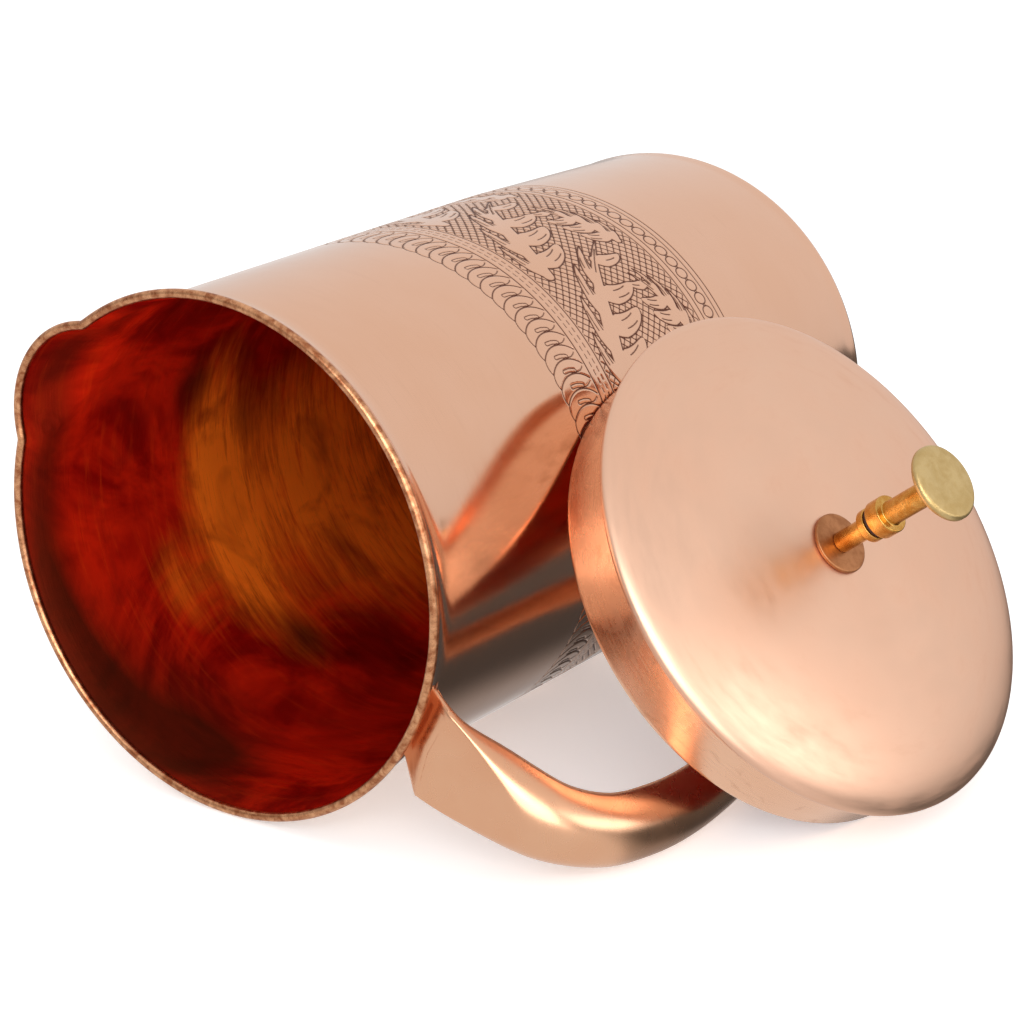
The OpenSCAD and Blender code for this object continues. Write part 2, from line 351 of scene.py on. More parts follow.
def inside_copper(name):
    """Lacquered inside: brushed round the axis and stained red and brown, with painted light in bright
    patches and painted shade in dark ones.
    """
    n = Nodes(name)
    own = n.own()
    split = n.add("ShaderNodeSeparateXYZ")
    n.link(own, split.inputs[0])
    angle = n.math("ARCTAN2", split.outputs["Y"], split.outputs["X"])
    round_map = n.add("ShaderNodeCombineXYZ")
    n.link(n.math("COSINE", angle), round_map.inputs[0])
    n.link(n.math("SINE", angle), round_map.inputs[1])
    n.link(n.math("MULTIPLY", split.outputs["Z"], 0.16), round_map.inputs[2])
    streak = n.noise(round_map.outputs[0], 3.4, 8, 0.72, 0.25)
    hair = n.noise(n.stretch(round_map.outputs[0], (1, 1, 6)), 4.0, 5, 0.7)
    stain = n.noise(own, 0.022, 5, 0.6, 1.4)
    blot = n.noise(own, 0.045, 4, 0.58, 0.9)
    colour = n.ramp(
        stain,
        [
            (0.32, (0.13, 0.0015, 0.001)),
            (0.46, (0.25, 0.003, 0.0015)),
            (0.60, (0.56, 0.014, 0.003)),
            (0.76, (0.19, 0.002, 0.001)),
        ],
    )
    # Painted light: the listed patches turn bright orange where the inside would be lit.
    painted_light = n.math("MULTIPLY", n.value("painted_light"), n.span(streak, 0.36, 0.62, 0.5, 1.3))
    colour = n.mix(n.span(painted_light, 0.05, 0.55, 0, 1), colour, (1.0, 0.20, 0.012))
    colour = n.mix(n.span(streak, 0.52, 0.75, 0, 0.25), colour, (0.85, 0.07, 0.006))
    colour = n.mix(n.span(blot, 0.52, 0.74, 0, 0.6), colour, (0.16, 0.006, 0.003))
    # Painted shade: the listed patches turn near black where the inside would lie in shade.
    colour = n.mix(n.span(n.value("painted_shade"), 0.1, 0.9, 0, 0.9), colour, (0.045, 0.008, 0.003))
    n.set(Specular_IOR_Level=0.0, Specular_Tint=(0.95, 0.22, 0.06))
    n.set(Base_Color=colour, Metallic=0.3, Roughness=n.span(hair, 0.3, 0.75, 0.24, 0.46))
    n.bump(n.math("ADD", streak, n.math("MULTIPLY", hair, 0.5)), 0.35, 0.0003)
    return n.material


def aged_metal(name, light, dark, rough, scale=0.25):
    """Two tones of metal in patches, with fine scratches: worn or heat-darkened, and on the rim
    darkened as a painted reflection.
    """
    n = Nodes(name)
    own = n.own()
    patch = n.noise(own, scale, 5, 0.6, 0.4)
    grit = n.noise(own, scale * 9, 3, 0.6)
    colour = n.mix(n.span(patch, 0.38, 0.62, 0, 1), dark, light)
    n.set(Base_Color=colour, Metallic=1.0, Roughness=n.span(grit, 0.3, 0.7, rough * 0.75, rough * 1.4))
    n.bump(n.math("ADD", n.math("MULTIPLY", patch, 0.6), n.math("MULTIPLY", grit, 0.25)), 0.4, 0.0002)
    return n.material


def gasket_rubber():
    """Dull dark brown rubber."""
    n = Nodes("gasket_rubber")
    grit = n.noise(n.own(), 2.5, 4, 0.6)
    colour = n.mix(grit, (0.018, 0.006, 0.004), (0.06, 0.02, 0.014))
    n.set(Base_Color=colour, Roughness=n.span(grit, 0.3, 0.7, 0.45, 0.7))
    n.bump(grit, 0.3, 0.0002)
    return n.material


def floor_paint():
    """Matt near-white floor that glows slightly."""
    n = Nodes("studio_floor")
    place = n.add("ShaderNodeTexCoord").outputs["Object"]
    cloud = n.noise(place, 1.5, 3, 0.5)
    n.set(Base_Color=n.mix(cloud, (0.92, 0.92, 0.92), (0.94, 0.94, 0.94)), Roughness=0.95)
    n.set(Specular_IOR_Level=0.1, Emission_Color=(1.0, 1.0, 1.0), Emission_Strength=0.35)
    return n.material


ROSE = (0.82, 0.495, 0.345)
ROSE_DEEP = (0.80, 0.465, 0.310)
INK = (0.13, 0.040, 0.022)

COPPER_OUT = polished_copper("copper_outside", ROSE, ROSE_DEEP, 0.12, 0.25, ink=True)
COPPER_GRIP = heated_copper("copper_handle")
COPPER_DOME = polished_copper("copper_dome", (0.83, 0.52, 0.37), ROSE, 0.34, smudges=0.06)
COPPER_SKIRT = polished_copper(
    "copper_skirt", (0.92, 0.57, 0.39), (0.88, 0.51, 0.33), 0.22, 0.2, stained=True
)
COPPER_IN = inside_copper("copper_inside")
# Painted reflection: the rim's dark, red tones stand in for the dark surroundings it reflects.
RIM_METAL = aged_metal("rim_metal", (0.74, 0.37, 0.19), (0.36, 0.12, 0.05), 0.30, 0.5)
BURNT = aged_metal("burnt_copper", (0.34, 0.16, 0.10), (0.10, 0.045, 0.03), 0.42, 0.35)
BRASS = aged_metal("worn_brass", (0.70, 0.40, 0.11), (0.58, 0.27, 0.05), 0.24, 0.5)
HEAD_BRASS = aged_metal("head_brass", (0.62, 0.45, 0.21), (0.54, 0.37, 0.15), 0.40, 0.3)
WASHER = aged_metal("washer_copper", (0.47, 0.20, 0.085), (0.36, 0.14, 0.055), 0.36, 0.5)
RUBBER = gasket_rubber()


# ---- Engraved band ----
# Drawn on a flat strip: u runs round the jug and v up it, both in millimetres.

# Steps round the jug, which both counts of tiles divide
COLUMNS = 1584
TURN_LENGTH = 2 * math.pi * BELLY_R
# Lowest and highest row of the engraved part, and their spacing
BAND_ROWS = (55.8, 125.6, 0.23)
CUT_DEPTH = 0.16
FRIEZE = (66.9, 107.5)
BORDER = (113.0, 125.0)
CHAIN = (59.0, 64.4)
LEAF_TILES = 12
BORDER_TILES = 99
DASHES = 176
# Height, width and whether it is dashed, for each line round the jug
RINGS = [
    (56.8, 0.42, False), (58.7, 0.42, False), (64.6, 0.38, False), (66.5, 0.42, False),
    (107.9, 0.42, False), (109.5, 0.34, True), (111.0, 0.34, True), (112.7, 0.42, False),
]


def ink_of(distance, width):
    """1 on a line, falling to 0 at its edge."""
    return np.clip(1.3 - np.abs(distance) / width * 1.9, 0, 1)


def curl(start, heading, length, bend, count=14):
    """Points of an arc that starts at a point, in degrees and millimetres."""
    t = np.linspace(0, 1, count)
    a = np.radians(heading + bend * t)
    xy = np.stack([np.cumsum(np.cos(a)), np.cumsum(np.sin(a))], 1) * length / (count - 1)
    return xy - xy[0] + np.array(start, float)


def along(u, v, path):
    """Distance from every point to a path, and the share of the path reached there."""
    best = np.full(np.broadcast(u, v).shape, 1e9)
    share = np.zeros(best.shape)
    n = len(path) - 1
    for i in range(n):
        a, d = path[i], path[i + 1] - path[i]
        t = np.clip(((u - a[0]) * d[0] + (v - a[1]) * d[1]) / (d @ d), 0, 1)
        dist = np.hypot(u - a[0] - t * d[0], v - a[1] - t * d[1])
        near = dist < best
        best = np.where(near, dist, best)
        share = np.where(near, (i + t) / n, share)
    return best, share


def lobe(u, v, path, half, blunt=0.5):
    """Distance outside a leaf lobe that swells soon after its root and narrows to a point."""
    dist, t = along(u, v, path)
    return dist - half * np.clip(1 - t, 0, 1) ** blunt * np.clip(0.55 + 1.5 * t, 0, 1)


def feather(x, v, start, heading, length, bend, size, flip):
    """A leaf with rounded lobes on one side and long barbs on the other, and its short veins."""
    spine = curl(start, heading, length, bend * flip, 20)
    leaf = lobe(x, v, spine, 2.7 * size, 0.8)
    veins = np.zeros(leaf.shape)
    tilt = np.degrees(np.arctan2(*(spine[1] - spine[0])[::-1]))
    for share, angle, reach, curve, half, strokes in (
        (0.12, -88, 11.5, 62, 3.1, (-0.3, 0.3)),
        (0.34, -86, 12.0, 62, 3.3, (-0.3, 0.3)),
        (0.57, -82, 11.0, 60, 3.0, (-0.3, 0.3)),
        (0.79, -70, 8.0, 50, 2.2, (0.0,)),
        (0.02, 46, 12.0, -44, 2.0, (-0.3, 0.25)),
        (0.20, 42, 14.0, -44, 2.2, (-0.35, 0.2)),
        (0.40, 38, 14.5, -44, 2.2, (-0.35, 0.2)),
        (0.60, 32, 12.5, -40, 1.9, (-0.3, 0.3)),
    ):
        at = spine[int(share * 19)]
        local = tilt + bend * flip * share
        path = curl(at, local + angle * flip, reach * size, curve * flip, 24)
        leaf = np.minimum(leaf, lobe(x, v, path, half * size, 0.42 if angle < 0 else 0.75))
        step = np.diff(path, axis=0)[12]
        side = np.array([-step[1], step[0]]) / np.linalg.norm(step)
        for s in strokes:
            dist, _ = along(x, v, path[9:18] + side * s * half * size)
            veins = np.maximum(veins, ink_of(dist, 0.4))
    dist, _ = along(x, v, spine[13:18])
    return leaf, np.maximum(veins, ink_of(dist, 0.4))


def frieze(u, v):
    """Feathered leaves on a cross-hatched ground, over one repeat."""
    wide = TURN_LENGTH / LEAF_TILES
    high = FRIEZE[1] - FRIEZE[0]
    leaves = np.full(np.broadcast(u, v).shape, 1e9)
    veins = np.zeros(leaves.shape)
    for du in (-wide, 0, wide):
        for leaf, stroke in (
            feather(u - du, v, (-2, high - 5.0), -12, 44, -46, 1.12, 1),
            feather(u - du, v, (wide * 0.02, 4.2), 8, 22, -24, 0.74, -1),
        ):
            veins = np.where(leaf < leaves, stroke, veins)
            leaves = np.minimum(leaves, leaf)
    pitch = wide / 13
    p = (u + v * 0.95) / pitch
    q = (u - v * 0.95) / pitch
    net = np.minimum(np.abs(p - np.round(p)), np.abs(q - np.round(q))) * pitch * 0.72
    lattice = ink_of(net, 0.38) * (leaves > 0.1)
    return np.maximum(np.maximum(ink_of(leaves, 0.5), lattice), veins * (leaves < -0.35))


def border(u, v):
    """Row of slanted overlapping leaves with a slot in each, under a scalloped line."""
    wide = TURN_LENGTH / BORDER_TILES
    top = BORDER[1] - BORDER[0] - 1.2
    ink = np.zeros(np.broadcast(u, v).shape)
    for k in (-2, -1, 0, 1, 2):
        x = u - k * wide
        dist, _ = along(x, v, curl((0.0, top), -38, 11.8, -96, 16))
        ink = np.maximum(ink, ink_of(dist, 0.42))
        dist, _ = along(x, v, curl((-0.9, top * 0.40), -118, 3.6, 62, 8))
        ink = np.maximum(ink, ink_of(dist, 0.36))
        dist, _ = along(x, v, curl((-0.2, top * 0.66), -84, 3.4, -26, 8))
        ink = np.maximum(ink, ink_of(dist - 0.45, 0.34))
    scallop = top + 0.45 * np.abs(np.sin(math.pi * u / wide))
    return np.maximum(ink * (v < scallop), ink_of(v - scallop, 0.36))


def chain(u, v):
    """Row of rings joined by pinched links."""
    wide = TURN_LENGTH / BORDER_TILES
    x = (u + wide / 2) % wide - wide / 2
    y = v - (CHAIN[1] - CHAIN[0]) / 2
    ring = np.hypot(x, y / 1.15) - wide * 0.42
    gap = wide / 2 - np.abs(x)
    link = np.abs(y) - 0.34 - 0.9 * gap**2
    return np.maximum(ink_of(ring, 0.42), ink_of(link, 0.36) * (ring > 0) * (gap < 1.2))


def engraving(z):
    """Depth of the engraved lines, 0 to 1, for rows at heights z and COLUMNS steps round."""
    u = np.arange(COLUMNS) * TURN_LENGTH / COLUMNS
    ink = np.zeros((len(z), COLUMNS))
    for level, width, dashed in RINGS:
        line = ink_of(z - level, width)[:, None] * np.ones(COLUMNS)
        if dashed:
            line = line * (np.sin(2 * math.pi * u / TURN_LENGTH * DASHES + level) > -0.5)
        ink = np.maximum(ink, line)
    for draw, span, count in (
        (frieze, FRIEZE, LEAF_TILES),
        (border, BORDER, BORDER_TILES),
        (chain, CHAIN, BORDER_TILES),
    ):
        rows = (z > span[0]) & (z < span[1])
        one = draw(u[None, : COLUMNS // count], (z[rows] - span[0])[:, None])
        ink[rows] = np.maximum(ink[rows], np.tile(one, (1, count)))
    return ink


# ---- Jug body ----

LINE_R = np.array([BELLY_R, NECK_R, ROLL_C + SHEET / 2])
LINE_Z = np.array([BELLY_Z, FLARE_Z, WALL_TOP])


def wall_radius(z):
    """Outer radius of the round wall above the foot's corner, with a soft neck."""
    foot = FOOT_R + (BELLY_R - FOOT_R) * np.clip((z - FOOT_ROUND) / (BELLY_Z - FOOT_ROUND), 0, 1)
    taper = np.interp(z, LINE_Z, LINE_R)
    flare = np.clip((z - (FLARE_Z - 3)) / (WALL_TOP - FLARE_Z + 3), 0, 1)
    neck = BELLY_R + (NECK_R - BELLY_R) * np.clip((z - BELLY_Z) / (FLARE_Z - BELLY_Z), 0, 1)
    curved = neck + (ROLL_C + SHEET / 2 - NECK_R) * flare**2.2
    return np.where(z < BELLY_Z, foot, np.where(z < FLARE_Z - 3, taper, curved))


def spout_radius(angle, z, grow=0.0):
    """Distance from the axis to the pinched spout's cone, or 0 where it is out of reach."""
    level = np.clip((z - (WALL_TOP - SPOUT_H)) / SPOUT_H, 0, 1)
    cone = LOBE_LOW_R + (LOBE_R - LOBE_LOW_R) * level + grow
    a = np.radians((angle - SPOUT_TURN + 180) % 360 - 180)
    inside = cone**2 - (LOBE_X * np.sin(a)) ** 2
    reach = LOBE_X * np.cos(a) + np.sqrt(np.maximum(inside, 0))
    return np.where((inside > 0) & (np.abs(a) < 1.2) & (z > WALL_TOP - SPOUT_H), reach, 0)


def soft_max(a, b, k):
    """The larger of two values, blended where they are close."""
    return (a + b + np.sqrt((a - b) ** 2 + k * k)) / 2 - k / 2


def shell_radius(angle, z, inset=0.0):
    """Radius of the wall and its spout together."""
    return soft_max(wall_radius(z) - inset, spout_radius(angle, z, SHEET / 2 - inset), 0.5)


def foot_rows(angle, inset):
    """Rows of points round the foot, from the ring's inner edge out to the wall."""
    corner = arc(FOOT_R - FOOT_ROUND, FOOT_ROUND, FOOT_ROUND - inset, -90, 0, 10)
    ring = [(FOOT_R - FOOT_ROUND - FOOT_RING_W * t, inset) for t in (1, 0.75, 0.5, 0.25)]
    line = np.array(ring + corner)
    return turned(line[:, 0:1], angle, line[:, 1:2])


def steps_round(columns):
    return np.arange(columns) * 360 / columns


def make_wall():
    angle = steps_round(COLUMNS)
    heights = np.concatenate(
        [
            np.linspace(4, 54, 18),
            np.arange(*BAND_ROWS),
            np.linspace(127, 145, 10),
            np.linspace(146.5, WALL_TOP, 60),
        ]
    )
    a, z = np.meshgrid(angle, heights)
    cut = engraving(heights)
    upper = turned(shell_radius(a, z) - CUT_DEPTH * cut, a, z)
    lower = foot_rows(angle, 0)
    rows = np.concatenate([lower, upper])
    ink = np.concatenate([np.zeros(lower.shape[:2]), cut])
    add_piece(
        "jug_wall", rows.reshape(-1, 3), grid_faces(len(rows), COLUMNS),
        JUG, COPPER_OUT, "jug", "body_wall", {"ink": ink.ravel()},
    )


# Patches of the inside: angle and half angle, height and half height, and how strong
# Painted light: where the inside turns bright orange as if lit.
PAINTED_LIGHT_PATCHES = [
    ((226, 30, 119, 9), 1.0),
    ((230, 26, 92, 20), 0.5),
    ((250, 22, 60, 24), 0.55),
    ((216, 20, 70, 20), 0.4),
    ((240, 12, 140, 8), 0.25),
]
# Painted shade: where the inside turns near black as if in shade.
PAINTED_SHADE_PATCHES = [
    ((245, 62, 177, 6), 1.0),
    ((262, 30, 170, 9), 0.6),
    ((190, 9, 129, 6), 0.75),
    ((264, 9, 117, 6), 0.8),
    ((283, 14, 165, 7), 0.6),
    ((172, 30, 172, 5), 0.5),
    ((268, 22, 156, 12), 0.45),
    ((205, 8, 108, 5), 0.4),
    ((248, 10, 84, 5), 0.4),
]
# Small ringed dent beside the spout: angle, height, ring spacing, reach and depth
DENT = (189.0, 174.0, 2.3, 2.6, 0.22)


def dent(angle, z):
    """How far the inside stands in or out of the round at the ringed dent."""
    at, level, spacing, reach, depth = DENT
    far = np.hypot(np.radians(angle - at) * RIM_R, z - level)
    return depth * np.cos(2 * math.pi * far / spacing) * np.exp(-((far / reach) ** 2))


def spot(points, angle, half_angle, level, half_level):
    """1 in the middle of a soft patch of the wall, falling to 0 round it."""
    turned = np.degrees(np.arctan2(points[:, 1], points[:, 0])) - angle
    away = (turned + 180) % 360 - 180
    return np.exp(-((away / half_angle) ** 2) - ((points[:, 2] - level) / half_level) ** 2)


def make_inside():
    columns = 720
    angle = steps_round(columns)
    heights = np.concatenate([np.linspace(4, 140, 60), np.linspace(141, WALL_TOP, 100)])
    a, z = np.meshgrid(angle, heights)
    upper = turned(shell_radius(a, z, SHEET) - np.maximum(dent(a, z), 0), a, z)
    rows = np.concatenate([foot_rows(angle, SHEET), upper])
    faces = grid_faces(len(rows), columns)[:, ::-1]
    points = rows.reshape(-1, 3)
    # Painted light and painted shade, each summed over its patches.
    painted_light = sum(spot(points, *patch) * strength for patch, strength in PAINTED_LIGHT_PATCHES)
    painted_shade = sum(spot(points, *patch) * strength for patch, strength in PAINTED_SHADE_PATCHES)
    values = {"painted_light": np.minimum(painted_light, 1.2), "painted_shade": np.minimum(painted_shade, 1)}
    add_piece("jug_inside", points, faces, JUG, COPPER_IN, "jug", "body_wall", values)


def make_rim():
    columns = 900
    sides = 20
    angle = steps_round(columns)
    middle = soft_max(np.full(columns, ROLL_C), spout_radius(angle, WALL_TOP - 0.001), 0.25)
    rad = np.radians(angle)
    line = np.stack([middle * np.cos(rad), middle * np.sin(rad)], -1)
    way = np.roll(line, -1, 0) - np.roll(line, 1, 0)
    out = np.stack([way[:, 1], -way[:, 0]], -1)
    out /= np.linalg.norm(out, axis=1)[:, None]
    rows = []
    for t in np.linspace(0, 2 * math.pi, sides, endpoint=False):
        flat = line + out * (ROLL_R * math.cos(t))
        level = np.full((columns, 1), ROLL_Z + ROLL_R * math.sin(t))
        rows.append(np.concatenate([flat, level], 1))
    points = np.array(rows[::-1]).reshape(-1, 3)
    faces = grid_faces(sides, columns, True, True)[:, ::-1]
    add_piece("rim_roll", points, faces, JUG, RIM_METAL, "jug", "rim_bead")


def make_base():
    out_r = FOOT_R - SHEET - GAP
    low = SHEET + GAP
    bend = FOOT_ROUND
    line = (
        [(0.01, low), (30, low), (47, low)]
        + arc(out_r - bend, low + bend, bend, -90, 0, 8)
        + [(out_r, 8.8), (out_r - 0.2, 9), (out_r - SHEET + 0.2, 9), (out_r - SHEET, 8.8)]
        + arc(out_r - bend, low + bend, bend - SHEET, 0, -90, 8)
        + [(47, low + SHEET), (30, low + SHEET), (0.01, low + SHEET)]
    )
    points, faces = lathe(line, 256)
    none = np.zeros(len(points))
    # A little painted light over the whole base, and no painted shade.
    values = {"painted_light": none + 0.25, "painted_shade": none}
    add_piece("base_disc", points, faces, JUG, COPPER_IN, "jug", "base_plate", values)


# ---- Handle ----

# Line of the handle's outer face, as distance from the jug's axis and height
GRIP = np.array(
    [
        [44, 183.6], [60, 186.5], [73, 182], [87, 176], [96.2, 165.7], [100.5, 153], [102.4, 138.4],
        [102.1, 119.7], [100.1, 101.4], [96.2, 85.6], [88.8, 72], [77, 61.6], [63.4, 55.3], [48, 51],
    ],
    float,
)
# Width of the handle at its upper end, its middle and its lower end
GRIP_WIDTHS = (22, 15.2, 20)
# Depth of the handle at its ends and its middle
GRIP_DEPTHS = (8.5, 9.8)
# How square the rounded outer face is: 1 is an ellipse, and less is squarer
GRIP_ROUND = 0.85
HANDLE_STEPS = 220
# Where the brazing stain on the handle starts to fade, and over what length, in mm
HEAT_REACH = (3.4, 4.4)
# How far the handle's flat end is lowered and rounded, in mm and square mm
SOFT_TOP = (-0.05, 1.6)
# Inside the fold the handle's end drops toward the wall by this much per mm
FOLD_SLOPE = 0.35
# The fold runs out by this much at the lower edge, where the end also narrows by this share
FOLD_SKEW = 2.5
END_TUCK = 0.42


def curve_at(points, u):
    """Points on a smooth curve through the given ones, u counting along them."""
    n = len(points) - 1
    i = np.minimum(np.floor(u).astype(int), n - 1)
    f = (u - i)[:, None]
    a, b = points[np.maximum(i - 1, 0)], points[i]
    c, d = points[i + 1], points[np.minimum(i + 2, n)]
    bend = (2 * a - 5 * b + 4 * c - d) * f**2
    return 0.5 * (2 * b + (c - a) * f + bend + (3 * b - a - 3 * c + d) * f**3)


def ease(x):
    """0 below 0 and 1 above 1, with a smooth step between."""
    c = np.clip(x, 0, 1)
    return c * c * (3 - 2 * c)


def fold_at(across):
    """Radius of the fold for points across the handle."""
    return FOLD_R + FOLD_SKEW * np.clip(-across / 11, 0, 1)


def grip_surface(s, across, inwards, top):
    """Points at s along the handle, across it and in from its outer face, kept under a level."""
    n = len(GRIP) - 1
    p = curve_at(GRIP, s * n)
    d = curve_at(GRIP, np.minimum(s + 0.005, 1) * n) - curve_at(GRIP, np.maximum(s - 0.005, 0) * n)
    d /= np.linalg.norm(d, axis=1)[:, None]
    x = p[:, 0] + inwards * d[:, 1]
    z = p[:, 1] - inwards * d[:, 0]
    top = top + SOFT_TOP[0] - FOLD_SLOPE * np.clip(fold_at(across) - x, 0, 8)
    z = (z + top - np.sqrt((z - top) ** 2 + SOFT_TOP[1])) / 2
    return np.stack([x, across, z], -1)


def grip_half(s):
    upper, middle, lower = GRIP_WIDTHS
    return (upper + (middle - upper) * ease(s / 0.32) + (lower - middle) * ease((s - 0.62) / 0.3)) / 2


def grip_depth(s):
    ends, middle = GRIP_DEPTHS
    return ends + (middle - ends) * np.sin(math.pi * s)


def jug_cut(line, inset):
    """First and last point of a line along the handle that lie outside the wall."""
    r = np.hypot(line[:, 0], line[:, 1])
    outside = r > wall_radius(np.minimum(line[:, 2], WALL_TOP)) - inset
    kept = np.nonzero(outside)[0]
    return kept[0], kept[-1]


def grip_rows(section, inset=0.35):
    """Rows along the handle for a list of (across, inwards, top), each cut at the wall."""
    fine = np.linspace(0, 1, 1201)
    columns = []
    for across, inwards, top in section:
        line = grip_surface(fine, across(fine), inwards(fine), top)
        first, last = jug_cut(line, inset)
        s = np.linspace(fine[first], fine[last], HANDLE_STEPS)
        columns.append(grip_surface(s, across(s), inwards(s), top))
    return np.array(columns)


def heat_of(points):
    """Nearly 1 at the jug's wall, falling to 0 a few millimetres beyond the fold."""
    far = np.hypot(points[:, 0], points[:, 1]) - wall_radius(np.minimum(points[:, 2], WALL_TOP))
    far = far - (fold_at(points[:, 1]) - FOLD_R)
    return 0.95 * (1 - ease((far - HEAT_REACH[0]) / HEAT_REACH[1]))


def tuck(s):
    """Share of the half width that the lower edge of the handle's end keeps near the wall."""
    return 1 - END_TUCK * np.clip((0.080 - s) / 0.034, 0, 1)


def half_toward(s, side):
    """Half width toward one side: near the wall only the lower side is narrowed."""
    return grip_half(s) * (tuck(s) if side < 0 else 1)


def add_grip(name, section, node):
    """One piece of the handle, closed round its section."""
    rows = grip_rows(section)
    faces = grid_faces(len(rows), HANDLE_STEPS, False, True)
    points = rows.reshape(-1, 3)
    values = {"heat": heat_of(points)}
    add_piece(name, points, faces, JUG, COPPER_GRIP, "jug", node, values)


def make_handle():
    outer = []
    for a in np.linspace(180, 0, 49):
        c, rise = math.cos(math.radians(a)), abs(math.sin(math.radians(a))) ** GRIP_ROUND
        side = math.copysign(abs(c) ** GRIP_ROUND, c)
        outer.append(
            (
                lambda s, side=side: half_toward(s, side) * side,
                lambda s, rise=rise: grip_depth(s) * (1 - rise),
                CAP_Z,
            )
        )
    # How far in from the edge, how far beyond the depth and how far down each turn of the lip is
    lip = [(0.1, 0.12, 0.5), (0.5, 0.12, 0.6), (SHEET, -0.1, SHEET), (SHEET, -1.2, SHEET)]
    turns = [(1, *turn_of) for turn_of in lip] + [(-1, *turn_of) for turn_of in lip[::-1]]
    edges = [
        (
            lambda s, side=side, cut=cut: side * (half_toward(s, side) - cut),
            lambda s, past=past: grip_depth(s) + past,
            CAP_Z - down,
        )
        for side, cut, past, down in turns
    ]
    add_grip("handle_cover", outer + edges, "handle_shell")
    strip_top = CAP_Z - SHEET - GAP
    strip = [
        (
            lambda s, t=t: (half_toward(s, t) - SHEET - GAP) * t,
            lambda s, t=t: grip_depth(s) - 0.10 - 0.25 * t * t,
            strip_top,
        )
        for t in np.linspace(1, -1, 9)
    ]
    back = [
        (
            lambda s, t=t: (half_toward(s, t) - SHEET - GAP) * t,
            lambda s: grip_depth(s) - SHEET - 0.3,
            strip_top,
        )
        for t in (-1, 1)
    ]
    add_grip("handle_strip", strip + back, "handle_inner_strip")


def make_cap():
    """Heat-darkened plate between the rim and the handle's fold."""
    half = 10.7
    count = 61
    ys = np.linspace(-half, half, count)
    inner = np.sqrt((ROLL_C - 0.2) ** 2 - ys**2)
    outer = fold_at(ys) - 0.5 * (np.abs(ys) / half) ** 6
    # Share of the way out and level of each point of the section
    section = (
        (0, -1.0), (0, -0.4), (0.05, 0.0), (0.3, 0.05), (0.6, 0.05), (0.9, 0.05), (1, -0.1), (1, -0.7),
    )
    rows = []
    for share, level in section:
        x = inner + (outer - inner) * share
        dip = 0.5 * (np.abs(ys) / half) ** 6 + FOLD_SLOPE * np.maximum(fold_at(ys) - x, 0)
        across = np.where(ys < 0, ys * (1 - END_TUCK * (1 - share)), ys)
        rows.append(np.stack([x, across, CAP_Z + level - dip], -1))
    points = np.array(rows).reshape(-1, 3)
    faces = grid_faces(len(rows), count, False, True)[:, ::-1]
    values = {"heat": heat_of(points)}
    add_piece(
        "handle_fold_plate", points, faces,
        JUG, COPPER_GRIP, "jug", "handle_end_cap", values,
    )


def make_braze(name, node, z, size, half_angle):
    """A lumpy bead of braze along the wall, below height z."""
    columns = 61
    sides = 12
    rng = np.random.default_rng(7)
    angle = np.linspace(-half_angle, half_angle, columns)
    lump = 0.75 + 0.25 * np.convolve(rng.random(columns + 6), np.ones(7) / 7, "valid") * 1.6
    fade = np.sqrt(np.clip(1 - (np.abs(angle) / half_angle) ** 4, 0.02, 1))
    r0 = float(wall_radius(np.array([z]))[0])
    rows = []
    for t in np.linspace(0, 2 * math.pi, sides, endpoint=False):
        rr = r0 + 0.25 * size + 0.55 * size * math.cos(t) * lump * fade
        zz = z - 0.55 * size + 0.50 * size * math.sin(t) * lump * fade
        rows.append(turned(rr, angle, zz))
    points = np.array(rows).reshape(-1, 3)
    faces = grid_faces(sides, columns, False, True)
    add_piece(name, points, faces, JUG, BURNT, "jug", node)


# ---- Lid ----

LID_SEGMENTS = 320
# Hole in the dome, the washers and the sleeves, for the screw
BORE_R = 1.5

def dome_line(grow, n=48):
    """The dome's section from its edge to its top, moved out by a distance."""
    out = []
    for i in range(n + 1):
        r = (DOME_R + grow) * math.sin(math.pi / 2 * (1 - i / n))
        z = DOME_Z + (DOME_RISE + grow) * max(0, 1 - (r / (DOME_R + grow)) ** 2.3) ** (1 / 2.1)
        out.append((r, z))
    return out


